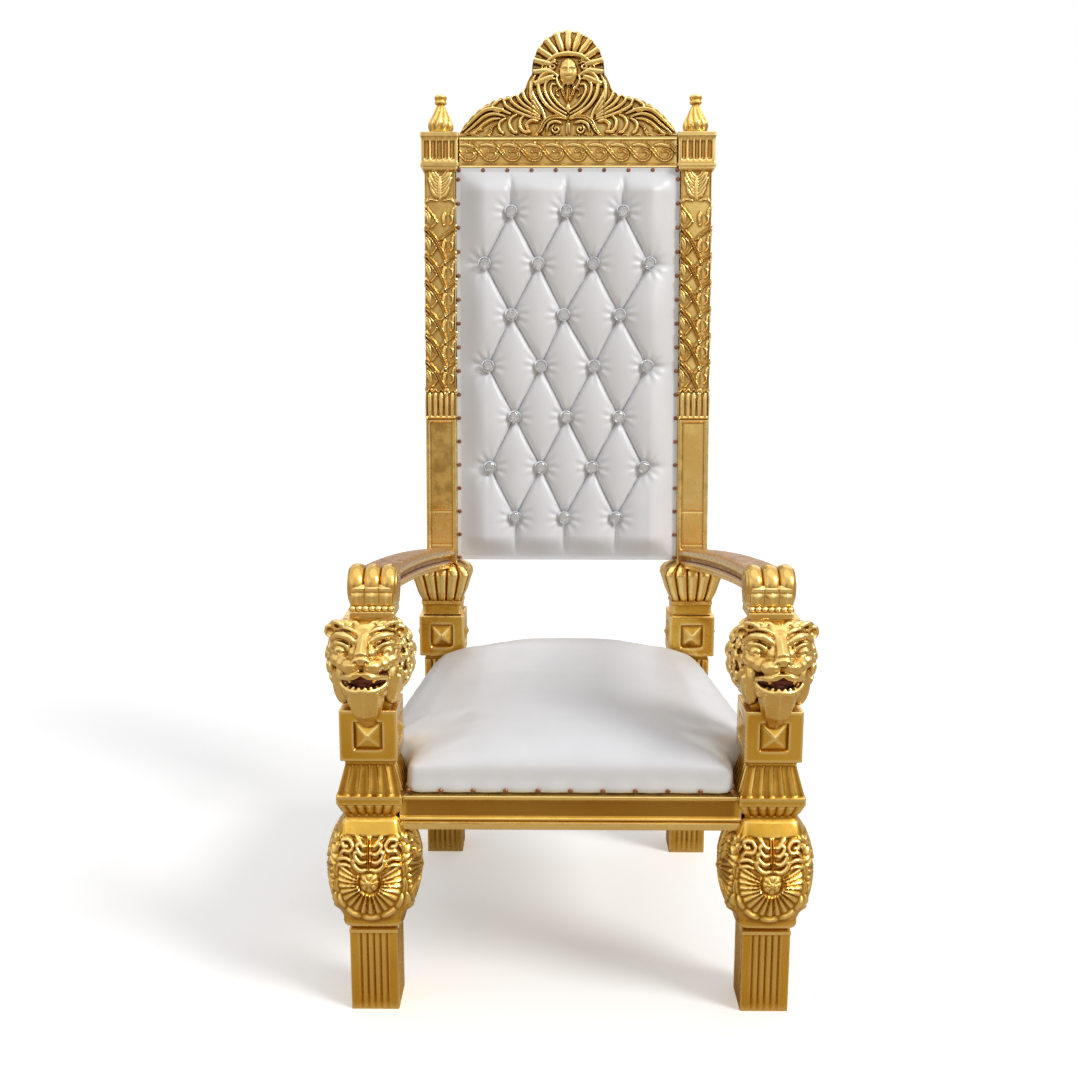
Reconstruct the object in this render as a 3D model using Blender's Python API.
"""A tall gilded throne with lion-head arm posts and a button-tufted back, at its real size.

Metres, +Z up. The throne faces -Y, and its left-hand pieces are at -X, as a viewer in front sees them.
Heights above the seat block are measured along the back, which then leans as one.
"""

import math

import bmesh
import bpy
from mathutils import Euler, Matrix, Vector

# Clearance between neighbouring pieces, and how near two points count as one
GAP = 0.0003
WELD = 0.00004

# Plan
FRONT_LEG_X = 0.349
REAR_LEG_X = 0.279
LEG_SPACING = 0.660

# Feet and front legs
FOOT_WIDTH = 0.081
FOOT_HEIGHT = 0.152
FOOT_CHAMFER = 0.008
REED_DEPTH = 0.004
KNEE_BOTTOM_WIDTH = 0.072
KNEE_TOP_WIDTH = 0.090
KNEE_CORNER_WIDTH = 0.128
KNEE_BULGE = 0.019
KNEE_HEIGHT = 0.208
SHELL_RELIEF = 0.005
FLARE_WIDTH = 0.116
FLARE_HEIGHT = 0.028
FLARE_LIP = 0.009
FLUTE_DEPTH = 0.005

# Seat rails
RAIL_HEIGHT = 0.062
RAIL_THICKNESS = 0.045
RAIL_LIP = 0.006
RAIL_LIP_HEIGHT = 0.017
FRONT_RAIL_FORWARD = 0.012

# Arm posts
BELL_HEIGHT = 0.053
BELL_LIP = 0.005
BELL_NECK_WIDTH = 0.086
NECK_HEIGHT = 0.009
BLOCK_WIDTH = 0.100
BLOCK_HEIGHT = 0.091
PANEL_WIDTH = 0.062
PANEL_DEPTH = 0.004
PYRAMID_RISE = 0.009
HEAD_POST_WIDTH = 0.080
HEAD_POST_HEIGHT = 0.161
HEAD_WIDTH = 0.146
HEAD_HEIGHT = 0.140
HEAD_DEPTH = 0.106
HEAD_FORWARD = 0.018
HEAD_DROP = 0.004
MANE_RIDGE = 0.004
MANE_LOCKS = 9

# Arms
ARM_WIDTH = 0.072
ARM_HEIGHT = 0.046
ARM_COVE = 0.009
ARM_TOE_IN = 0.010
ARM_REAR_RISE = 0.026
ARM_BASE_WIDTH = 0.078
SCROLL_STAND = 0.049
SCROLL_WIDTH = 0.084
SCROLL_RADIUS = 0.037
SCROLL_LOBES = 3
SCROLL_LOBE_DEPTH = 0.006
SCROLL_CORNERS = 10

# Rear posts
BUD_NECK_WIDTH = 0.088
BUD_WIDTH = 0.130
BUD_NECK_HEIGHT = 0.028
BUD_SWELL_HEIGHT = 0.058
BUD_SHOULDER_HEIGHT = 0.030
SHAFT_WIDTH = 0.068
SHAFT_RELIEF = 0.004
PANEL_SINK = 0.003
CAP_WIDTH = 0.080
CAP_PLATE_WIDTH = 0.084
CAP_HEIGHT = 0.073
CAP_PLATE = 0.012
LATTICE_PITCH = 0.058
PLAIN_SHARE = 0.375
LATTICE_END_SHARE = 0.93
FINIAL_HEIGHT = 0.087
FINIAL_RADIUS = 0.028

# Back
LEAN = math.radians(5.5)
BACK_STAND = 0.0027
BACK_HEIGHT = 0.860
BOARD_THICKNESS = 0.020
BOARD_FRONT = 0.005
PAD_EDGE = 0.026
PAD_CROWN = 0.010
PUFF = 0.019
TUFT_ROWS = 7
TUFT_TOP_MARGIN = 0.097
TUFT_BOTTOM_MARGIN = 0.097
TUFT_SPACING_TOP = 0.123
TUFT_SPACING_BOTTOM = 0.110
TUFT_ROW_SHIFTS = (-0.004, -0.006, -0.009, 0.0, -0.002, -0.002, -0.006)
BUTTON_RADIUS = 0.0145
BUTTON_HEIGHT = 0.008
BUTTON_STAND = 0.011
SHANK_CLEARANCE = 0.0014
BUTTON_CORNERS = 6
TOP_RAIL_HEIGHT = 0.0655
TOP_RAIL_THICKNESS = 0.046
GUILLOCHE_TURNS = 9
GUILLOCHE_RELIEF = 0.005

# Crest
CREST_HEIGHT = 0.228
CREST_THICKNESS = 0.030
CREST_RELIEF = 0.012
MEDALLION_RADIUS = 0.078
MEDALLION_RISE = 0.145
CREST_END_HEIGHT = 0.012
WING_RISE = 0.082
WING_FULLNESS = 3.7
NECK_SWEEP = 0.040
NECK_SWEEP_REACH = 0.016
LEAVES_A_SIDE = 3
SHELL_RAYS = 11

# Seat pad
SEAT_EDGE_HEIGHT = 0.052
SEAT_CROWN = 0.060
REAR_FULLNESS = 0.22
SEAT_FRONT_OVERHANG = 0.030
SEAT_SIDE_MARGIN = 0.018
SEAT_REAR_REACH = 0.012
NOTCH_STEP = 0.002

# Heights that the pieces share
FLARE_BOTTOM = FOOT_HEIGHT + FOOT_CHAMFER + KNEE_HEIGHT
SEAT_RAIL_TOP = FLARE_BOTTOM + FLARE_HEIGHT + FLARE_LIP
POST_BOTTOM = SEAT_RAIL_TOP + GAP
BLOCK_BOTTOM = POST_BOTTOM + BELL_LIP + BELL_HEIGHT + NECK_HEIGHT
BLOCK_TOP = BLOCK_BOTTOM + BLOCK_HEIGHT
HINGE_HEIGHT = (BLOCK_BOTTOM + BLOCK_TOP) / 2
HEAD_POST_TOP = BLOCK_TOP + HEAD_POST_HEIGHT
ARM_BOTTOM = HEAD_POST_TOP + GAP
SCROLL_HEIGHT = ARM_BOTTOM + SCROLL_STAND
BUD_TOP = BLOCK_TOP + BUD_NECK_HEIGHT + BUD_SWELL_HEIGHT + BUD_SHOULDER_HEIGHT
BACK_BOTTOM = BUD_TOP + BACK_STAND
BACK_TOP = BACK_BOTTOM + BACK_HEIGHT
ARM_REAR_TOP = BACK_BOTTOM + ARM_REAR_RISE
TUFT_ROW_SPACING = (BACK_HEIGHT - TUFT_TOP_MARGIN - TUFT_BOTTOM_MARGIN) / (TUFT_ROWS - 1)
BACK_HALF_WIDTH = REAR_LEG_X - SHAFT_WIDTH / 2 - GAP
CAP_TOP = BACK_TOP + CAP_HEIGHT
TOP_RAIL_TOP = BACK_TOP + GAP + TOP_RAIL_HEIGHT
CREST_BASE = TOP_RAIL_TOP + GAP
TOP_RAIL_HALF = REAR_LEG_X - CAP_PLATE_WIDTH / 2 - GAP

# Points on each side of a squared turning, and the ones that its flutes or reeds sink
SIDE_STEPS = 6
FLUTE_VALLEYS = (1, 3, 5)
REED_VALLEYS = (2, 4)
BACK_SIDE = 2


def start_scene():
    """Empty the file and make the two collections that hold the throne and its cutters."""
    for old in list(bpy.data.objects):
        bpy.data.objects.remove(old)
    made = []
    for title in ("Throne", "Cutters"):
        collection = bpy.data.collections.new(title)
        bpy.context.scene.collection.children.link(collection)
        made.append(collection)
    return made


THRONE, CUTTERS = start_scene()


def finish_material(name, colour, roughness, metallic=0.0, transmission=0.0):
    """A plain Principled material."""
    material = bpy.data.materials.new(name)
    material.use_nodes = True
    shader = material.node_tree.nodes["Principled BSDF"]
    shader.inputs["Base Color"].default_value = (*colour, 1.0)
    shader.inputs["Roughness"].default_value = roughness
    shader.inputs["Metallic"].default_value = metallic
    shader.inputs["Transmission Weight"].default_value = transmission
    material.diffuse_color = (*colour, 1.0)
    return material


GOLD = finish_material("gold", (0.80, 0.52, 0.16), 0.28, metallic=1.0)
WHITE_VINYL = finish_material("white_vinyl", (0.84, 0.84, 0.86), 0.45)
CRYSTAL = finish_material("crystal", (0.90, 0.93, 0.95), 0.05, transmission=0.6)


def object_from(bm, name, material, collection=THRONE):
    """Turn a bmesh into a named object with its faces pointing out."""
    bmesh.ops.recalc_face_normals(bm, faces=bm.faces)
    mesh = bpy.data.meshes.new(name)
    bm.to_mesh(mesh)
    bm.free()
    made = bpy.data.objects.new(name, mesh)
    collection.objects.link(made)
    if material is not None:
        mesh.materials.append(material)
    return made


def as_cutter(made):
    """Mark an object as a cutter, which isn't part of the throne."""
    made.hide_render = True
    made.display_type = "WIRE"
    return made


def loft(name, rings, material=GOLD, collection=THRONE):
    """A closed solid through rings of points, all with the same count, capped at both ends."""
    bm = bmesh.new()
    loops = [[bm.verts.new(point) for point in ring] for ring in rings]
    for lower, upper in zip(loops, loops[1:]):
        for index in range(len(lower)):
            after = (index + 1) % len(lower)
            bm.faces.new((lower[index], lower[after], upper[after], upper[index]))
    bm.faces.new(reversed(loops[0]))
    bm.faces.new(loops[-1])
    return object_from(bm, name, material, collection)


def turned(name, rings, panel_bands=()):
    """A squared turning through rings; the bands named in panel_bands carry a pyramid on each side."""
    bm = bmesh.new()
    loops = [[bm.verts.new(point) for point in ring] for ring in rings]
    count = len(loops[0])
    for band, (lower, upper) in enumerate(zip(loops, loops[1:])):
        if band in panel_bands:
            for start in range(0, count, SIDE_STEPS):
                steps = [(start + step) % count for step in range(SIDE_STEPS + 1)]
                add_pyramid_panel(bm, [lower[step] for step in steps], [upper[step] for step in steps])
            continue
        for index in range(count):
            after = (index + 1) % count
            bm.faces.new((lower[index], lower[after], upper[after], upper[index]))
    bm.faces.new(reversed(loops[0]))
    bm.faces.new(loops[-1])
    return object_from(bm, name, GOLD)


def add_pyramid_panel(bm, lower, upper):
    """Fill one flat side of a block with a sunk square that holds a low pyramid."""
    sideways = (lower[-1].co - lower[0].co).normalized()
    outward = sideways.cross(Vector((0, 0, 1)))
    middle = (lower[0].co + lower[-1].co + upper[0].co + upper[-1].co) / 4
    face = []
    sunk = []
    for across, up in ((-1, -1), (1, -1), (1, 1), (-1, 1)):
        corner = sideways * (across * PANEL_WIDTH / 2) + Vector((0, 0, up * PANEL_WIDTH / 2))
        face.append(bm.verts.new(middle + corner))
        sunk.append(bm.verts.new(middle + corner * 0.94 - outward * PANEL_DEPTH))
    apex = bm.verts.new(middle + outward * PYRAMID_RISE)
    bm.faces.new(lower + [face[1], face[0]])
    bm.faces.new((lower[-1], upper[-1], face[2], face[1]))
    bm.faces.new(upper[::-1] + [face[3], face[2]])
    bm.faces.new((upper[0], lower[0], face[0], face[3]))
    for index in range(4):
        after = (index + 1) % 4
        bm.faces.new((face[index], face[after], sunk[after], sunk[index]))
        bm.faces.new((sunk[index], sunk[after], apex))


def side_frames():
    """Outward and sideways unit vectors of the four sides: front, right, back and left."""
    frames = []
    for quarter in range(4):
        turn = Matrix.Rotation(quarter * math.pi / 2, 3, "Z")
        frames.append((turn @ Vector((0, -1, 0)), turn @ Vector((1, 0, 0))))
    return frames


def squared_ring(centre, height, width, valleys=(), depth=0.0):
    """A square ring of points; valleys names the points of each side that sink by depth."""
    ring = []
    half = width / 2
    for outward, sideways in side_frames():
        for step in range(SIDE_STEPS):
            across = half * (2 * step / SIDE_STEPS - 1)
            out = half - (depth if step in valleys else 0.0)
            flat = outward * out + sideways * across
            ring.append(Vector((centre[0] + flat.x, centre[1] + flat.y, height)))
    return ring


def lean_back(point, axis_y):
    """Turn a point about the hinge line where the back starts to lean."""
    pivot = Vector((0, axis_y, HINGE_HEIGHT))
    return Matrix.Rotation(-LEAN, 3, "X") @ (point - pivot) + pivot


def place_on_back(made):
    """Stand a piece, modelled upright about the post axis, on the leaning back."""
    made.rotation_euler = Euler((-LEAN, 0, 0))
    made.location = lean_back(Vector((0, LEG_SPACING, 0)), LEG_SPACING)
    return made


def boolean(target, tool, operation):
    """Apply one exact Boolean and keep the tool out of the throne."""
    step = target.modifiers.new(operation.lower(), "BOOLEAN")
    step.operation = operation
    step.solver = "EXACT"
    step.object = tool
    return target


def merge_flat_faces(mesh):
    """Join faces that lie in one plane, and drop points along straight edges."""
    bm = bmesh.new()
    bm.from_mesh(mesh)
    bmesh.ops.remove_doubles(bm, verts=bm.verts, dist=WELD)
    bmesh.ops.dissolve_limit(bm, angle_limit=math.radians(0.3), verts=bm.verts, edges=bm.edges)
    bm.to_mesh(mesh)
    bm.free()


def baked(made):
    """Replace an object's mesh and modifiers by its evaluated mesh, in world space."""
    bpy.context.view_layer.update()
    graph = bpy.context.evaluated_depsgraph_get()
    mesh = bpy.data.meshes.new_from_object(made.evaluated_get(graph))
    mesh.transform(made.matrix_world)
    made.modifiers.clear()
    merge_flat_faces(mesh)
    made.data = mesh
    made.matrix_world = Matrix.Identity(4)
    return made


def union(name, pieces):
    """Join overlapping solids into the first one and remove the rest."""
    whole = pieces[0]
    for other in pieces[1:]:
        boolean(whole, other, "UNION")
        baked(whole)
        bpy.data.objects.remove(other)
    whole.name = name
    return whole


def mirrored(made, name):
    """The left-hand twin of a right-hand piece, which carries an unapplied rotation or none."""
    baked(made)
    mesh = made.data.copy()
    mesh.transform(Matrix.Scale(-1, 4, Vector((1, 0, 0))))
    mesh.flip_normals()
    twin = bpy.data.objects.new(name, mesh)
    THRONE.objects.link(twin)
    return twin


def carved_slab(name, material, columns, rows, place, behind):
    """A slab whose front is a grid laid by place(u, v) and whose flat back is behind(point)."""
    bm = bmesh.new()
    bmesh.ops.create_grid(bm, x_segments=columns, y_segments=rows, size=1.0)
    for vert in bm.verts:
        vert.co = place(vert.co.x, vert.co.y)
    grown = bmesh.ops.extrude_face_region(bm, geom=list(bm.faces), use_keep_orig=True)["geom"]
    for element in grown:
        if isinstance(element, bmesh.types.BMVert):
            element.co = behind(element.co)
    back = [element for element in grown if isinstance(element, bmesh.types.BMFace)]
    bmesh.ops.dissolve_faces(bm, faces=back)
    return object_from(bm, name, material)


def smooth_step(low, high, value):
    """0 below low, 1 above high, and a smooth rise between."""
    share = max(0.0, min(1.0, (value - low) / (high - low)))
    return share * share * (3 - 2 * share)


# Legs


def reeded_foot_rings(centre, top):
    """Rings of a square foot with reeds up its sides, from the floor to top."""
    return [
        squared_ring(centre, 0.0, FOOT_WIDTH, REED_VALLEYS, REED_DEPTH),
        squared_ring(centre, top, FOOT_WIDTH, REED_VALLEYS, REED_DEPTH),
    ]


def knee_half_width(rise):
    """Half the knee's width at its corners, at rise from -1 at the bottom to 1 at the top."""
    neck = KNEE_BOTTOM_WIDTH if rise < 0 else KNEE_TOP_WIDTH
    swell = math.cos(rise * math.pi / 2) ** 0.6 if abs(rise) < 1 else 0.0
    return (neck + (KNEE_CORNER_WIDTH - neck) * swell) / 2


def knee_point(centre, bottom, frame, across, rise, relief):
    """A point of one side of the knee; across and rise run from -1 to 1."""
    outward, sideways = frame
    half = knee_half_width(rise)
    out = half + relief
    if abs(rise) < 1:
        out += KNEE_BULGE * (1 - across * across) * math.cos(rise * math.pi / 2)
    flat = outward * out + sideways * (across * half)
    height = bottom + KNEE_HEIGHT * (rise + 1) / 2
    return Vector((centre[0] + flat.x, centre[1] + flat.y, height))


def patch_outline():
    """(across, rise) round a side's square edge, from its lower left corner, with steps on each edge."""
    outline = []
    for step in range(SIDE_STEPS):
        outline.append((2 * step / SIDE_STEPS - 1, -1.0))
    for step in range(SIDE_STEPS):
        outline.append((1.0, 2 * step / SIDE_STEPS - 1))
    for step in range(SIDE_STEPS):
        outline.append((1 - 2 * step / SIDE_STEPS, 1.0))
    for step in range(SIDE_STEPS):
        outline.append((-1.0, 1 - 2 * step / SIDE_STEPS))
    return outline


def add_plain_side(bm, centre, bottom, frame, edge_verts):
    """Fill one side of the knee with a plain swelling."""
    middle = bm.verts.new(knee_point(centre, bottom, frame, 0, 0, 0))
    for index in range(len(edge_verts)):
        bm.faces.new((edge_verts[index], edge_verts[(index + 1) % len(edge_verts)], middle))


def add_shell(bm, centre, bottom, frame, edge_verts):
    """Fill one side of the knee with a shell: rays that fan from a boss, inside the given edge."""
    outline = patch_outline()
    outer = edge_verts
    for share in (0.80, 0.40):
        inner = []
        for spoke, (across, rise) in enumerate(outline):
            length = math.hypot(across, rise)
            round_share = share / length if share < 0.8 else share * (0.5 + 0.5 / length)
            lift = SHELL_RELIEF if spoke % 2 else -SHELL_RELIEF
            point = knee_point(centre, bottom, frame, across * round_share, rise * round_share, lift)
            inner.append(bm.verts.new(point))
        for index in range(len(outline)):
            after = (index + 1) % len(outline)
            bm.faces.new((outer[index], outer[after], inner[after], inner[index]))
        outer = inner
    boss = bm.verts.new(knee_point(centre, bottom, frame, 0, 0, SHELL_RELIEF))
    for index in range(len(outline)):
        bm.faces.new((outer[index], outer[(index + 1) % len(outline)], boss))


def front_leg():
    """The right front leg: reeded foot, shell-carved knee and a fluted flare under the seat rail."""
    centre = (FRONT_LEG_X, 0.0)
    knee_bottom = FOOT_HEIGHT + FOOT_CHAMFER
    lower = reeded_foot_rings(centre, FOOT_HEIGHT)
    upper = [
        squared_ring(centre, FLARE_BOTTOM + 0.002, KNEE_TOP_WIDTH, FLUTE_VALLEYS, FLUTE_DEPTH),
        squared_ring(centre, FLARE_BOTTOM + FLARE_HEIGHT, FLARE_WIDTH, FLUTE_VALLEYS, FLUTE_DEPTH),
        squared_ring(centre, FLARE_BOTTOM + FLARE_HEIGHT + 0.001, FLARE_WIDTH),
        squared_ring(centre, SEAT_RAIL_TOP, FLARE_WIDTH),
    ]
    bm = bmesh.new()
    frames = side_frames()
    sides = len(frames)
    count = sides * SIDE_STEPS
    bottom_loop = [bm.verts.new(p) for p in squared_ring(centre, knee_bottom, KNEE_BOTTOM_WIDTH)]
    top_loop = [bm.verts.new(p) for p in squared_ring(centre, FLARE_BOTTOM, KNEE_TOP_WIDTH)]
    corners = []
    for frame in frames:
        column = []
        for step in range(1, SIDE_STEPS):
            rise = 2 * step / SIDE_STEPS - 1
            column.append(bm.verts.new(knee_point(centre, knee_bottom, frame, -1, rise, 0)))
        corners.append(column)
    for side, frame in enumerate(frames):
        start = side * SIDE_STEPS
        near, far = corners[side], corners[(side + 1) % sides]
        edge = [bottom_loop[(start + step) % count] for step in range(SIDE_STEPS + 1)]
        edge += far
        edge += [top_loop[(start + step) % count] for step in range(SIDE_STEPS, -1, -1)]
        edge += near[::-1]
        fill = add_plain_side if side == BACK_SIDE else add_shell
        fill(bm, centre, knee_bottom, frame, edge)
    for rings, first in ((lower[::-1], bottom_loop), (upper, top_loop)):
        loop = first
        for ring in rings:
            verts = [bm.verts.new(point) for point in ring]
            for index in range(count):
                after = (index + 1) % count
                bm.faces.new((loop[index], loop[after], verts[after], verts[index]))
            loop = verts
        bm.faces.new(loop)
    return object_from(bm, "front_leg_right", GOLD)


# Arm posts


def arm_post_shaft():
    """The post from the seat rail to the arm: fluted bell, pyramid block and the core behind the head."""
    centre = (FRONT_LEG_X, 0.0)
    bell_bottom = POST_BOTTOM + BELL_LIP
    bell_top = bell_bottom + BELL_HEIGHT
    rings = [
        squared_ring(centre, POST_BOTTOM, FLARE_WIDTH),
        squared_ring(centre, bell_bottom, FLARE_WIDTH),
        squared_ring(centre, bell_bottom + 0.001, FLARE_WIDTH - 0.002, FLUTE_VALLEYS, FLUTE_DEPTH),
        squared_ring(centre, bell_top, BELL_NECK_WIDTH, FLUTE_VALLEYS, FLUTE_DEPTH),
        squared_ring(centre, BLOCK_BOTTOM - 0.001, BELL_NECK_WIDTH),
    ]
    panel_band = len(rings)
    rings += [
        squared_ring(centre, BLOCK_BOTTOM, BLOCK_WIDTH),
        squared_ring(centre, BLOCK_TOP, BLOCK_WIDTH),
        squared_ring(centre, BLOCK_TOP + 0.001, HEAD_POST_WIDTH),
        squared_ring(centre, HEAD_POST_TOP, HEAD_POST_WIDTH),
    ]
    return turned("arm_post_right", rings, (panel_band,))


def bump(direction, towards, spread):
    """A smooth bump of height 1 about a direction, falling off over spread radians."""
    angle = direction.angle(Vector(towards), math.pi)
    return math.exp(-((angle / spread) ** 2))


def mane_radius_change(direction):
    """How far the lion's skull and mane depart from a plain oval; the rises are shares of its height."""
    folded = Vector((abs(direction.x), direction.y, direction.z))
    change = 0.0
    for towards, spread, rise in (
        ((0.34, -1.0, 0.40), 0.22, 0.086),
        ((0.36, -1.0, 0.12), 0.17, -0.071),
        ((0.62, -1.0, -0.25), 0.30, 0.057),
        ((0.0, -1.0, 0.62), 0.20, -0.029),
        ((0.85, -0.45, 0.75), 0.22, 0.114),
        ((0.0, -1.0, -1.0), 0.45, -0.086),
    ):
        change += HEAD_HEIGHT * rise * bump(folded, towards, spread)
    from_face = direction.angle(Vector((0, -1, -0.1)), math.pi)
    around = math.atan2(direction.x, direction.z)
    return change + smooth_step(0.9, 1.3, from_face) * MANE_RIDGE * math.cos(MANE_LOCKS * around)


def lion_skull():
    """The lion's skull and mane: an oval with brows, eye hollows, cheeks, ears and ridged locks."""
    bm = bmesh.new()
    bmesh.ops.create_uvsphere(bm, u_segments=2 * MANE_LOCKS, v_segments=10, radius=1.0)
    bmesh.ops.rotate(bm, verts=bm.verts, matrix=Matrix.Rotation(math.pi / 2, 3, "X"))
    for vert in bm.verts:
        direction = vert.co.normalized()
        oval = Vector((direction.x * HEAD_WIDTH, direction.y * HEAD_DEPTH, direction.z * HEAD_HEIGHT)) / 2
        vert.co = head_centre() + oval + direction * mane_radius_change(direction)
    return object_from(bm, "lion_skull", GOLD)


def head_centre():
    """Middle of the right lion's head."""
    return Vector((FRONT_LEG_X, -HEAD_FORWARD, HEAD_POST_TOP - HEAD_HEIGHT / 2 - HEAD_DROP))


def head_loft(name, sections, corners):
    """A form of the lion's head through upright ovals, sized as shares of the head's height."""
    rings = []
    for back, rise, across, up in sections:
        ring = []
        for corner in range(corners):
            angle = 2 * math.pi * (corner + 0.5) / corners
            share = Vector((across * math.cos(angle), back, rise + up * math.sin(angle)))
            ring.append(head_centre() + share * HEAD_HEIGHT)
        rings.append(ring)
    return loft(name, rings)


def lion_muzzle():
    """The lion's nose and upper lip, which taper forward from its cheeks."""
    sections = (
        (-0.214, 0.014, 0.286, 0.286),
        (-0.443, -0.043, 0.271, 0.214),
        (-0.593, -0.071, 0.257, 0.164),
        (-0.686, -0.057, 0.186, 0.121),
    )
    return head_loft("lion_muzzle", sections, 10)


def lion_jaw():
    """The lion's open jaw, whose chin tapers down over the block."""
    sections = (
        (-0.214, -0.371, 0.214, 0.129),
        (-0.429, -0.414, 0.221, 0.100),
        (-0.571, -0.400, 0.186, 0.057),
    )
    return head_loft("lion_jaw", sections, 8)


def lion_chin():
    """The smooth tongue of beard that narrows from the jaw to the block."""
    outline = ((-1, 0.4), (-0.6, 0.85), (0, 1.0), (0.6, 0.85), (1, 0.4))
    inside_post = HEAD_FORWARD - 0.375 * HEAD_POST_WIDTH
    rings = []
    for rise, half_share, front_share in ((-0.357, 0.214, 0.529), (-0.571, 0.179, 0.443), (-0.800, 0.107, 0.257)):
        half, front, height = (HEAD_HEIGHT * share for share in (half_share, front_share, rise))
        ring = [Vector((half * across, -front * deep, height)) for across, deep in outline]
        ring += [Vector((half, inside_post, height)), Vector((-half, inside_post, height))]
        rings.append([head_centre() + point for point in ring])
    return loft("lion_chin", rings)


def arm_post():
    """The right arm post, carved with its lion's head as one piece."""
    pieces = [arm_post_shaft(), lion_skull(), lion_muzzle(), lion_jaw(), lion_chin()]
    post = union("arm_post_right", pieces)
    return level_top(post, HEAD_POST_TOP)


def level_top(made, height):
    """Plane a piece off flat at a height."""
    bm = bmesh.new()
    bm.from_mesh(made.data)
    geometry = list(bm.verts) + list(bm.edges) + list(bm.faces)
    plane = bmesh.ops.bisect_plane(
        bm, geom=geometry, plane_co=(0, 0, height - GAP), plane_no=(0, 0, 1), clear_outer=True
    )
    rim = [element for element in plane["geom_cut"] if isinstance(element, bmesh.types.BMEdge)]
    bmesh.ops.contextual_create(bm, geom=rim)
    bm.to_mesh(made.data)
    bm.free()
    return made


# Arms


def arm_centre(share):
    """Middle of the arm's section, from the scroll at share 0 to the rear post at share 1."""
    across = FRONT_LEG_X - ARM_TOE_IN
    rear_x = REAR_LEG_X + 0.004
    front_top = SCROLL_HEIGHT + SCROLL_RADIUS - 0.012
    fall = share ** 1.35
    x = across + (rear_x - across) * share ** 1.2
    z = front_top + (ARM_REAR_TOP - front_top) * fall - ARM_HEIGHT / 2
    return Vector((x, LEG_SPACING * share, z))


def arm_section(centre):
    """The arm's moulded section: flat top and bottom with a cove along each side."""
    half, tall = ARM_WIDTH / 2, ARM_HEIGHT / 2
    right = [
        (half * 0.55, -tall),
        (half - 0.004, -tall + 0.004),
        (half - 0.004, -tall * 0.45),
        (half - ARM_COVE, -tall * 0.1),
        (half - ARM_COVE, tall * 0.25),
        (half, tall * 0.55),
        (half, tall * 0.8),
        (half * 0.8, tall),
    ]
    outline = right + [(-across, up) for across, up in right[::-1]]
    return [centre + Vector((across, 0, up)) for across, up in outline]


def arm_scroll():
    """The roll at the arm's front, with rounded lobes side by side."""
    steps_per_lobe = 3
    steps = SCROLL_LOBES * steps_per_lobe
    middle_x = FRONT_LEG_X - ARM_TOE_IN
    rings = []
    for step in range(steps + 1):
        lobe = abs(math.sin(math.pi * step / steps_per_lobe))
        radius = SCROLL_RADIUS - SCROLL_LOBE_DEPTH * (1 - lobe)
        if step in (0, steps):
            radius = SCROLL_RADIUS * 0.72
        x = middle_x + SCROLL_WIDTH * (step / steps - 0.5)
        ring = []
        for corner in range(SCROLL_CORNERS):
            angle = 2 * math.pi * corner / SCROLL_CORNERS
            ring.append(Vector((x, radius * math.sin(angle), SCROLL_HEIGHT + radius * math.cos(angle))))
        rings.append(ring)
    return loft("scroll", rings)


def arm_base():
    """The short fluted block between the lion's head and the scroll."""
    centre = (FRONT_LEG_X - ARM_TOE_IN, 0.0)
    flutes = (FLUTE_VALLEYS, FLUTE_DEPTH / 2)
    return loft(
        "base",
        [
            squared_ring(centre, ARM_BOTTOM, ARM_BASE_WIDTH, *flutes),
            squared_ring(centre, SCROLL_HEIGHT, ARM_BASE_WIDTH - 0.004, *flutes),
        ],
    )


def arm():
    """The right arm, scrolled at its front and cut to fit the rear post behind."""
    sections = 6
    body = loft("body", [arm_section(arm_centre(step / sections)) for step in range(sections + 1)])
    whole = union("arm_right", [body, arm_base(), arm_scroll()])
    return baked(boolean(whole, bud_cutter(), "DIFFERENCE"))


# Rear posts


def bud_rings(extra, valleys=(), depth=0.0):
    """Rings of the bud under the back, leaning with it; extra widens it all round."""
    centre = (REAR_LEG_X, LEG_SPACING)
    neck = BLOCK_TOP + BUD_NECK_HEIGHT
    swell = neck + BUD_SWELL_HEIGHT
    levels = (
        (BLOCK_TOP + 0.006, BUD_NECK_WIDTH, False),
        (neck, BUD_NECK_WIDTH, False),
        (neck + 0.002, BUD_NECK_WIDTH, True),
        (swell, BUD_WIDTH, True),
        (BUD_TOP - BUD_SHOULDER_HEIGHT / 3, BUD_WIDTH * 0.86, True),
        (BUD_TOP, SHAFT_WIDTH - 0.008, False),
    )
    rings = []
    for height, width, fluted in levels:
        sunk = valleys if fluted else ()
        ring = squared_ring(centre, height, width + 2 * extra, sunk, depth)
        rings.append([lean_back(point, LEG_SPACING) for point in ring])
    return rings


def bud_cutter():
    """The space that the rear post takes where the arm meets it."""
    centre = (REAR_LEG_X, LEG_SPACING)
    rings = bud_rings(GAP)[:-1]
    for height in (BUD_TOP, BACK_TOP):
        ring = squared_ring(centre, height, SHAFT_WIDTH + 2 * GAP)
        rings.append([lean_back(point, LEG_SPACING) for point in ring])
    return as_cutter(loft("rear_post_space", rings, None, CUTTERS))


def rear_leg():
    """The rear post up to its shoulder: reeded leg, pyramid block and fluted bud."""
    centre = (REAR_LEG_X, LEG_SPACING)
    rings = reeded_foot_rings(centre, BLOCK_BOTTOM - NECK_HEIGHT)
    rings.append(squared_ring(centre, BLOCK_BOTTOM - 0.001, FOOT_WIDTH))
    panel_band = len(rings)
    rings.append(squared_ring(centre, BLOCK_BOTTOM, BLOCK_WIDTH))
    rings.append(squared_ring(centre, BLOCK_TOP, BLOCK_WIDTH))
    rings += bud_rings(0.0, FLUTE_VALLEYS, FLUTE_DEPTH)
    return turned("leg", rings, (panel_band,))


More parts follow.
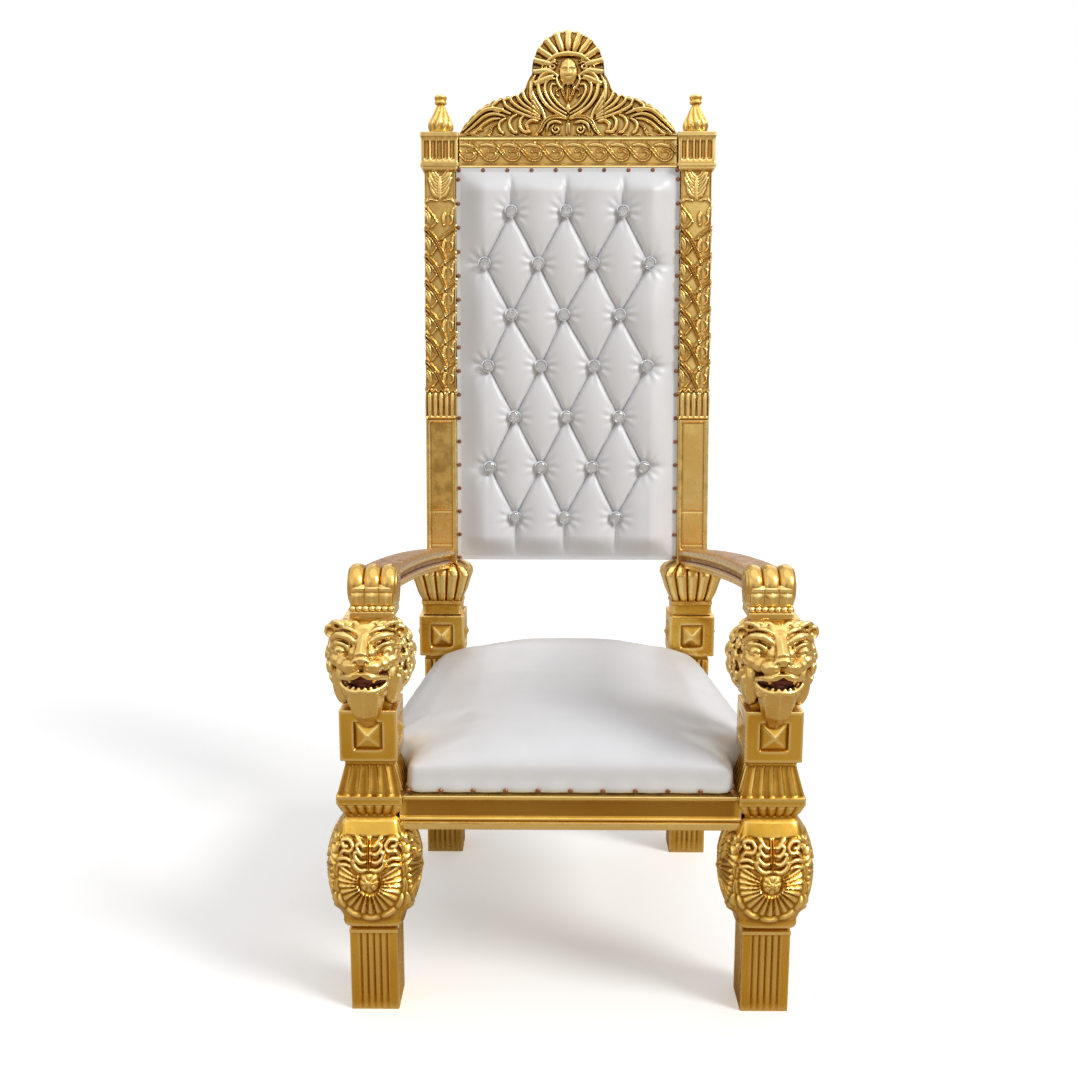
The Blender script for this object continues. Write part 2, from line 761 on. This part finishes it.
def shaft_relief(across, share):
    """Depth of carving on the shaft's face; share runs from its foot to its top."""
    inside = 1 - smooth_step(0.55, 0.85, abs(across))
    if share < PLAIN_SHARE:
        return -PANEL_SINK * inside * smooth_step(0.03, 0.05, share)
    if share > LATTICE_END_SHARE:
        return SHAFT_RELIEF * math.cos(2.5 * math.pi * across)
    height = share * BACK_HEIGHT
    return SHAFT_RELIEF * inside * math.cos(2 * math.pi * (height / LATTICE_PITCH + across / 2))


def rear_shaft():
    """The carved upright beside the back pad, modelled upright about the post axis."""
    half = SHAFT_WIDTH / 2
    plain_rows, carved_rows = 5, 25
    rows = plain_rows + carved_rows
    bottom = BACK_BOTTOM - BUD_SHOULDER_HEIGHT / 3
    top = BACK_TOP + CAP_HEIGHT / 4

    def place(u, v):
        row = round((v + 1) / 2 * rows)
        if row <= plain_rows:
            share = PLAIN_SHARE * row / plain_rows
        else:
            share = PLAIN_SHARE + (1 - PLAIN_SHARE) * (row - plain_rows) / carved_rows
        out = half + (shaft_relief(u, share) if abs(u) < 0.99 else 0.0)
        return Vector((REAR_LEG_X + half * u, -out, bottom + (top - bottom) * share))

    made = carved_slab("shaft", GOLD, 4, rows, place, lambda point: Vector((point.x, half, point.z)))
    return place_on_back(made)


def rear_cap():
    """The fluted block on top of the rear post."""
    centre = (REAR_LEG_X, 0.0)
    flutes = (FLUTE_VALLEYS, FLUTE_DEPTH)
    low, high = BACK_TOP + CAP_PLATE, CAP_TOP - CAP_PLATE
    made = loft(
        "cap",
        [
            squared_ring(centre, BACK_TOP + GAP, CAP_PLATE_WIDTH),
            squared_ring(centre, low - 0.001, CAP_PLATE_WIDTH),
            squared_ring(centre, low, CAP_WIDTH, *flutes),
            squared_ring(centre, high, CAP_WIDTH, *flutes),
            squared_ring(centre, high + 0.001, CAP_PLATE_WIDTH),
            squared_ring(centre, CAP_TOP, CAP_PLATE_WIDTH),
        ],
    )
    return place_on_back(made)


def rear_post():
    """The right rear post, one long piece from the floor to the cap."""
    return union("rear_post_right", [rear_leg(), rear_shaft(), rear_cap()])


def finial():
    """The right finial: a twisted, fluted bulb with a small knob."""
    outline = (
        (0.00, 0.78),
        (0.06, 0.86),
        (0.26, 1.00),
        (0.46, 0.72),
        (0.64, 0.46),
        (0.76, 0.30),
        (0.80, 0.48),
        (0.95, 0.46),
        (1.00, 0.30),
    )
    corners = 10
    twist = math.radians(40)
    rings = []
    for share, width in outline:
        fluted = 0.05 < share < 0.7
        ring = []
        for corner in range(corners):
            angle = 2 * math.pi * corner / corners + twist * share
            sunk = 0.88 if fluted and corner % 2 else 1.0
            radius = FINIAL_RADIUS * width * sunk
            height = CAP_TOP + GAP + FINIAL_HEIGHT * share
            ring.append(Vector((REAR_LEG_X + radius * math.cos(angle), radius * math.sin(angle), height)))
        rings.append(ring)
    return place_on_back(loft("finial_right", rings))


# Seat rails


def rail_profile():
    """(outward, height) round the seat rail's section: a sloped upper band over a lower lip."""
    half = RAIL_THICKNESS / 2
    bottom = SEAT_RAIL_TOP - RAIL_HEIGHT
    return [
        (-half, bottom),
        (half + RAIL_LIP, bottom),
        (half + RAIL_LIP, bottom + RAIL_LIP_HEIGHT - 0.004),
        (half, bottom + RAIL_LIP_HEIGHT),
        (half + RAIL_LIP * 0.4, SEAT_RAIL_TOP - 0.006),
        (half + RAIL_LIP, SEAT_RAIL_TOP - 0.004),
        (half + RAIL_LIP, SEAT_RAIL_TOP),
        (-half, SEAT_RAIL_TOP),
    ]


def seat_rail(name, start, end, outward):
    """A moulded rail between two plan points; outward is the way its moulding faces."""
    rings = []
    for x, y in (start, end):
        ring = []
        for out, height in rail_profile():
            ring.append(Vector((x + outward[0] * out, y + outward[1] * out, height)))
        rings.append(ring)
    return loft(name, rings)


def front_leg_cutter(side):
    """The space that a front leg takes at the height of the rails."""
    centre = (side * FRONT_LEG_X, 0.0)
    low = SEAT_RAIL_TOP - RAIL_HEIGHT - 0.01
    steps = 6
    sizes = []
    for step in range(steps + 1):
        height = low + (FLARE_BOTTOM - low) * (1 - (1 - step / steps) ** 2)
        rise = 2 * (height - FOOT_HEIGHT - FOOT_CHAMFER) / KNEE_HEIGHT - 1
        swell = KNEE_BULGE * math.cos(min(1.0, rise) * math.pi / 2)
        sizes.append((height, 2 * (knee_half_width(rise) + swell + SHELL_RELIEF)))
    sizes.append((FLARE_BOTTOM + FLARE_HEIGHT, FLARE_WIDTH))
    sizes.append((SEAT_RAIL_TOP + 0.01, FLARE_WIDTH))
    rings = [squared_ring(centre, height, width + 2 * GAP) for height, width in sizes]
    return as_cutter(loft("front_leg_space", rings, None, CUTTERS))


def rear_leg_cutter(side):
    """The space that a rear leg takes at the height of the rails."""
    centre = (side * REAR_LEG_X, LEG_SPACING)
    low = SEAT_RAIL_TOP - RAIL_HEIGHT - 0.01
    rings = [
        squared_ring(centre, height, FOOT_WIDTH + 2 * GAP) for height in (low, SEAT_RAIL_TOP + 0.01)
    ]
    return as_cutter(loft("rear_leg_space", rings, None, CUTTERS))


def seat_rails():
    """The four rails, each cut to fit the legs that it runs between."""
    front_y = -FRONT_RAIL_FORWARD
    front = seat_rail("seat_rail_front", (-FRONT_LEG_X, front_y), (FRONT_LEG_X, front_y), (0, -1))
    back = seat_rail("seat_rail_back", (-REAR_LEG_X, LEG_SPACING), (REAR_LEG_X, LEG_SPACING), (0, 1))
    cuts = [(front, front_leg_cutter), (back, rear_leg_cutter)]
    for rail, cutter in cuts:
        for side in (-1, 1):
            boolean(rail, cutter(side), "DIFFERENCE")
        baked(rail)
    right = seat_rail("seat_rail_right", (FRONT_LEG_X, 0.0), (REAR_LEG_X, LEG_SPACING), (1, 0))
    boolean(right, front_leg_cutter(1), "DIFFERENCE")
    boolean(right, rear_leg_cutter(1), "DIFFERENCE")
    mirrored(right, "seat_rail_left")


# Upholstery


def seat_half_width(y):
    """Half the seat pad's width: between the arm posts in front, then over the rails, then between blocks."""
    share = y / LEG_SPACING
    if y < seat_notches()[0] + 0.001:
        return FRONT_LEG_X - FLARE_WIDTH / 2 - GAP
    if y > seat_notches()[1] + 0.001:
        return REAR_LEG_X - BLOCK_WIDTH / 2 - PYRAMID_RISE - GAP
    return FRONT_LEG_X + (REAR_LEG_X - FRONT_LEG_X) * share + SEAT_SIDE_MARGIN


def seat_notches():
    """Where the pad steps out behind the arm posts, and where it steps in before the rear posts."""
    behind_arm_post = FLARE_WIDTH / 2 + GAP
    before_rear_post = LEG_SPACING - BLOCK_WIDTH / 2 - PYRAMID_RISE - GAP - NOTCH_STEP
    return behind_arm_post, before_rear_post


def seat_pad():
    """The seat pad: upright edges and a full crown, notched round the arm posts and the rear posts."""
    behind_post, before_post = seat_notches()
    front = -RAIL_THICKNESS / 2 - SEAT_FRONT_OVERHANG / 2
    rear = LEG_SPACING + SEAT_REAR_REACH
    stops = [front, front + 0.012, front + 0.035, behind_post, behind_post + NOTCH_STEP]
    first, steps = behind_post + NOTCH_STEP, 8
    stops += [first + (before_post - first) * step / steps for step in range(1, steps + 1)]
    stops += [before_post + NOTCH_STEP, rear - 0.012, rear]
    rows = len(stops) - 1
    base = SEAT_RAIL_TOP + GAP

    def place(u, v):
        y = stops[round((v + 1) / 2 * rows)]
        along = 2 * (y - front) / (rear - front) - 1
        shaped = math.copysign(1 - (1 - abs(u)) ** 1.4, u)
        swell = (1 - abs(shaped) ** 3.0) ** 0.6 * max(0.0, 1 - abs(along) ** 6.0) ** 0.6
        swell *= 1 + REAR_FULLNESS * along
        pull = 0.010 * smooth_step(0.96, 1.0, -along)
        x = shaped * (seat_half_width(y) - pull)
        return Vector((x, y, base + SEAT_EDGE_HEIGHT + SEAT_CROWN * swell))

    return carved_slab(
        "seat_pad", WHITE_VINYL, 10, rows, place, lambda point: Vector((point.x, point.y, base))
    )


def tuft_spacing(height):
    """Distance between buttons in a row; it closes in a little towards the seat."""
    share = (BACK_TOP - height) / BACK_HEIGHT
    return TUFT_SPACING_TOP + (TUFT_SPACING_BOTTOM - TUFT_SPACING_TOP) * share


def tuft_height(row):
    """Height of a row of buttons, counted from the top; row may be a fraction."""
    return BACK_TOP - TUFT_TOP_MARGIN - TUFT_ROW_SPACING * row


def tuft_shift(row):
    """Sideways wander of the hand-set rows, read between rows where row is a fraction."""
    bounded = max(0.0, min(TUFT_ROWS - 1.0, row))
    first = min(TUFT_ROWS - 2, int(bounded))
    share = bounded - first
    return TUFT_ROW_SHIFTS[first] * (1 - share) + TUFT_ROW_SHIFTS[first + 1] * share


def puff(column, row):
    """Fullness of the pad, 0 on the pleats that join buttons and 1 in the middle of a diamond."""
    inside = max(0.0, min(TUFT_ROWS - 1.0, row))
    first = math.sin(math.pi * (column + inside / 2))
    second = math.sin(math.pi * (column - inside / 2))
    return math.sqrt(abs(first * second))


def tuft_rows():
    """Row positions of the back pad's grid: two per row of buttons, and the plain margins."""
    half_steps = 2 * (TUFT_ROWS - 1)
    rows = [step / 2 for step in range(half_steps + 1)]
    above = TUFT_TOP_MARGIN / TUFT_ROW_SPACING
    below = (BACK_HEIGHT - TUFT_TOP_MARGIN) / TUFT_ROW_SPACING
    return [0.0 - above, -above * 0.85, -above * 0.4] + rows + [below * 0.955, below * 0.987, below]


def back_pad():
    """The tufted pad: puffed diamonds between pleats that run from button to button."""
    rows = tuft_rows()
    columns = 16

    def place(u, v):
        row = rows[round((1 - v) / 2 * (len(rows) - 1))]
        height = tuft_height(row)
        index = round(u * columns / 2)
        column = index / 4
        edge = abs(index) == columns // 2 or row in (rows[0], rows[-1])
        x = column * tuft_spacing(height) + tuft_shift(row) * (1 - abs(u))
        if abs(index) == columns // 2:
            x = math.copysign(BACK_HALF_WIDTH, u)
        near_edge = smooth_step(0.0, 0.10, 1 - abs(u)) * smooth_step(rows[0], rows[2], row)
        near_edge *= 1 - smooth_step(rows[-3], rows[-1], row)
        out = PAD_EDGE + (0.0 if edge else PAD_CROWN * near_edge + PUFF * near_edge * puff(column, row))
        return Vector((x, -out, height))

    back = BOARD_FRONT - GAP
    made = carved_slab(
        "back_pad", WHITE_VINYL, columns, len(rows) - 1, place, lambda point: Vector((point.x, back, point.z))
    )
    split_along_pleats(made.data)
    return place_on_back(made)


def split_along_pleats(mesh):
    """Split each square of the pad along its pleat where it holds one, or along its fuller diagonal."""
    bm = bmesh.new()
    bm.from_mesh(mesh)
    for face in [face for face in bm.faces if len(face.verts) == 4]:
        corners = list(face.verts)
        sums = [corners[0].co.y + corners[2].co.y, corners[1].co.y + corners[3].co.y]
        deepest = max(corner.co.y for corner in corners)
        on_pleat = [abs(total - 2 * deepest) < 0.001 for total in sums]
        along_first = on_pleat[0] or (not on_pleat[1] and sums[0] < sums[1])
        pair = corners[0::2] if along_first else corners[1::2]
        bmesh.utils.face_split(face, *pair)
    bm.to_mesh(mesh)
    bm.free()


def buttons():
    """The crystal buttons, each a domed head on a tapered shank that sits in its dimple."""
    dimple = PAD_EDGE + PAD_CROWN + SHANK_CLEARANCE
    levels = (
        (dimple, 0.10),
        (dimple + BUTTON_STAND, 1.0),
        (dimple + BUTTON_STAND + BUTTON_HEIGHT, 0.62),
    )
    for row in range(TUFT_ROWS):
        in_row = 3 if row % 2 == 0 else 4
        height = tuft_height(row)
        for place in range(in_row):
            column = place - (in_row - 1) / 2
            x = column * tuft_spacing(height)
            x += tuft_shift(row) * (1 - abs(column) / 2)
            rings = []
            for out, share in levels:
                ring = []
                for corner in range(BUTTON_CORNERS):
                    angle = 2 * math.pi * corner / BUTTON_CORNERS
                    radius = BUTTON_RADIUS * share
                    ring.append(Vector((x + radius * math.cos(angle), -out, height + radius * math.sin(angle))))
                rings.append(ring)
            place_on_back(loft(f"button_{row + 1}_{place + 1}", rings, CRYSTAL))


def back_board():
    """The board that carries the pad, covered in the same vinyl behind."""
    low, high = BACK_BOTTOM, BACK_TOP
    bm = bmesh.new()
    bmesh.ops.create_cube(bm, size=1.0)
    size = Vector((2 * BACK_HALF_WIDTH, BOARD_THICKNESS, high - low))
    middle = Vector((0, BOARD_FRONT + BOARD_THICKNESS / 2, (low + high) / 2))
    for vert in bm.verts:
        vert.co = middle + Vector((vert.co.x * size.x, vert.co.y * size.y, vert.co.z * size.z))
    return place_on_back(object_from(bm, "back_board", WHITE_VINYL))


# Top rail and crest


def guilloche(across, rise):
    """Relief of two bands that weave round a row of eyes; across is in turns and rise from -1 to 1."""
    height = 0.0
    for phase in (0.0, 0.5):
        band = 0.62 * math.sin(2 * math.pi * (across + phase))
        height = max(height, 1 - ((rise - band) / 0.34) ** 2)
    return height


def top_rail():
    """The rail over the pad, carved with a running guilloche between two fillets."""
    columns, rows = GUILLOCHE_TURNS * 6, 5
    low = BACK_TOP + GAP
    front = TOP_RAIL_THICKNESS / 2 + 0.006

    def place(u, v):
        relief = 0.0
        if abs(v) < 0.8 and abs(u) < 0.98:
            relief = GUILLOCHE_RELIEF * (guilloche(u * GUILLOCHE_TURNS / 4, v / 0.75) - 1)
        height = low + TOP_RAIL_HEIGHT * (v + 1) / 2
        return Vector((u * TOP_RAIL_HALF, -front - relief, height))

    back = TOP_RAIL_THICKNESS / 2
    made = carved_slab("top_rail", GOLD, columns, rows, place, lambda point: Vector((point.x, back, point.z)))
    return place_on_back(made)


def crest_outline(x):
    """Height of the crest's outline above the top rail, at a distance from its middle."""
    share = min(1.0, abs(x) / TOP_RAIL_HALF)
    wing = CREST_END_HEIGHT + WING_RISE * (1 - share**WING_FULLNESS)
    wing += NECK_SWEEP * math.exp(-(((abs(x) - MEDALLION_RADIUS) / NECK_SWEEP_REACH) ** 2))
    if abs(x) >= MEDALLION_RADIUS:
        return wing
    round_top = math.sqrt(MEDALLION_RADIUS**2 - x * x) * (CREST_HEIGHT - MEDALLION_RISE) / MEDALLION_RADIUS
    return MEDALLION_RISE + round_top


def crest_board():
    """The crest's board, sawn to its outline."""
    steps = 30
    outline = []
    for step in range(steps + 1):
        share = 2 * step / steps - 1
        x = TOP_RAIL_HALF * math.copysign(abs(share) ** 1.2, share)
        outline.append((x, crest_outline(x)))
    outline += [(TOP_RAIL_HALF, 0.0), (-TOP_RAIL_HALF, 0.0)]
    half = CREST_THICKNESS / 2
    rings = [[Vector((x, y, CREST_BASE + height)) for x, height in outline] for y in (half, -half)]
    return loft("crest_board", rings)


def crest_shell():
    """The fan of the medallion: rays with valleys between them."""
    rings = []
    for depth, share in ((-0.004, 1.0), (0.006, 0.96), (0.011, 0.35)):
        ring = []
        for step in range(2 * SHELL_RAYS):
            angle = math.pi * step / SHELL_RAYS
            valley = 0.84 if step % 2 else 1.0
            radius = (MEDALLION_RADIUS - 0.003) * share * valley
            x, height = radius * math.sin(angle), MEDALLION_RISE + radius * math.cos(angle)
            ring.append(Vector((x, -CREST_THICKNESS / 2 - depth, CREST_BASE + height)))
        rings.append(ring)
    return loft("crest_shell", rings)


def crest_mask():
    """The plain oval of the small mask, in front of the shell."""
    bm = bmesh.new()
    bmesh.ops.create_uvsphere(bm, u_segments=8, v_segments=6, radius=1.0)
    middle = Vector((0, -CREST_THICKNESS / 2 - 0.006, CREST_BASE + MEDALLION_RISE - 0.012))
    for vert in bm.verts:
        vert.co = middle + Vector((vert.co.x * 0.025, vert.co.y * 0.016, vert.co.z * 0.034))
    return object_from(bm, "crest_mask", GOLD)


def crest_scroll(side):
    """One of the pair of scrolls that make a heart under the mask."""
    path = (
        (0.016, 0.106),
        (0.034, 0.112),
        (0.056, 0.098),
        (0.064, 0.072),
        (0.052, 0.046),
        (0.032, 0.030),
        (0.014, 0.022),
    )
    rings = []
    for index, (x, height) in enumerate(path):
        before, after = path[max(0, index - 1)], path[min(len(path) - 1, index + 1)]
        ahead = Vector((after[0] - before[0], after[1] - before[1])).normalized()
        ring = []
        for corner in range(6):
            angle = 2 * math.pi * corner / 6
            spread, out = 0.008 * math.cos(angle), 0.012 * math.sin(angle)
            point = (side * (x - ahead.y * spread), -CREST_THICKNESS / 2 - out, height + ahead.x * spread)
            ring.append(Vector((point[0], point[1], CREST_BASE + point[2])))
        rings.append(ring)
    return loft("crest_scroll", rings)


def crest_leaf(root_x, root_height, length, width, degrees, side=1):
    """A pointed leaf with a raised rib, that lies on the crest; degrees turn it up from sideways."""
    turn = math.radians(degrees)
    along = Vector((math.cos(turn) * side, 0, math.sin(turn)))
    across = Vector((-math.sin(turn) * side, 0, math.cos(turn)))
    root = Vector((side * root_x, -CREST_THICKNESS / 2 + 0.0008, CREST_BASE + root_height))
    bm = bmesh.new()
    outline = [(0.0, 0.0), (0.4, 0.5), (1.0, 0.0), (0.4, -0.5)]
    rim = [bm.verts.new(root + along * (length * a) + across * (width * b)) for a, b in outline]
    rib = bm.verts.new(root + along * (length * 0.45) + Vector((0, -CREST_RELIEF, 0)))
    for index in range(4):
        bm.faces.new((rim[index], rim[(index + 1) % 4], rib))
    bm.faces.new(rim[::-1])
    return object_from(bm, "crest_leaf", GOLD)


def crest_leaves():
    """The palmette inside the heart, and the leaves that sweep out to the crest's ends."""
    leaves = []
    for degrees in (90, 55, 125):
        leaves.append(crest_leaf(0.0, 0.036, 0.050, 0.024, degrees))
    for side in (-1, 1):
        for degrees in (30, 56, 82):
            leaves.append(crest_leaf(0.075, 0.034, 0.064, 0.028, degrees, side))
        for step in range(LEAVES_A_SIDE):
            root_x = 0.098 + 0.035 * step
            length = 1.12 * (crest_outline(root_x + 0.045) - 0.010)
            leaves.append(crest_leaf(root_x, 0.010, length, 0.034, 46, side))
    return leaves


def crest():
    """The cresting: a shell medallion with a mask over scrolls and leafy wings, cut from one board."""
    pieces = [crest_board(), crest_shell(), crest_mask(), crest_scroll(1), crest_scroll(-1)]
    return place_on_back(union("crest", pieces + crest_leaves()))


# Whole throne


def centre_on_floor():
    """Move the throne so that its bounding box stands centred on the origin."""
    bpy.context.view_layer.update()
    lows, highs = [], []
    for made in THRONE.objects:
        corners = [made.matrix_world @ Vector(corner) for corner in made.bound_box]
        lows.append(min(corner.y for corner in corners))
        highs.append(max(corner.y for corner in corners))
    shift = -(min(lows) + max(highs)) / 2
    for made in list(THRONE.objects) + list(CUTTERS.objects):
        made.location.y += shift
    return shift


def build_throne():
    """Make every piece; the left-hand twins mirror the right-hand ones."""
    for make, twin in (
        (front_leg, "front_leg_left"),
        (arm_post, "arm_post_left"),
        (arm, "arm_left"),
        (rear_post, "rear_post_left"),
        (finial, "finial_left"),
    ):
        mirrored(make(), twin)
    seat_rails()
    seat_pad()
    back_board()
    back_pad()
    buttons()
    top_rail()
    crest()
    for made in list(THRONE.objects):
        baked(made)
    centre_on_floor()


build_throne()
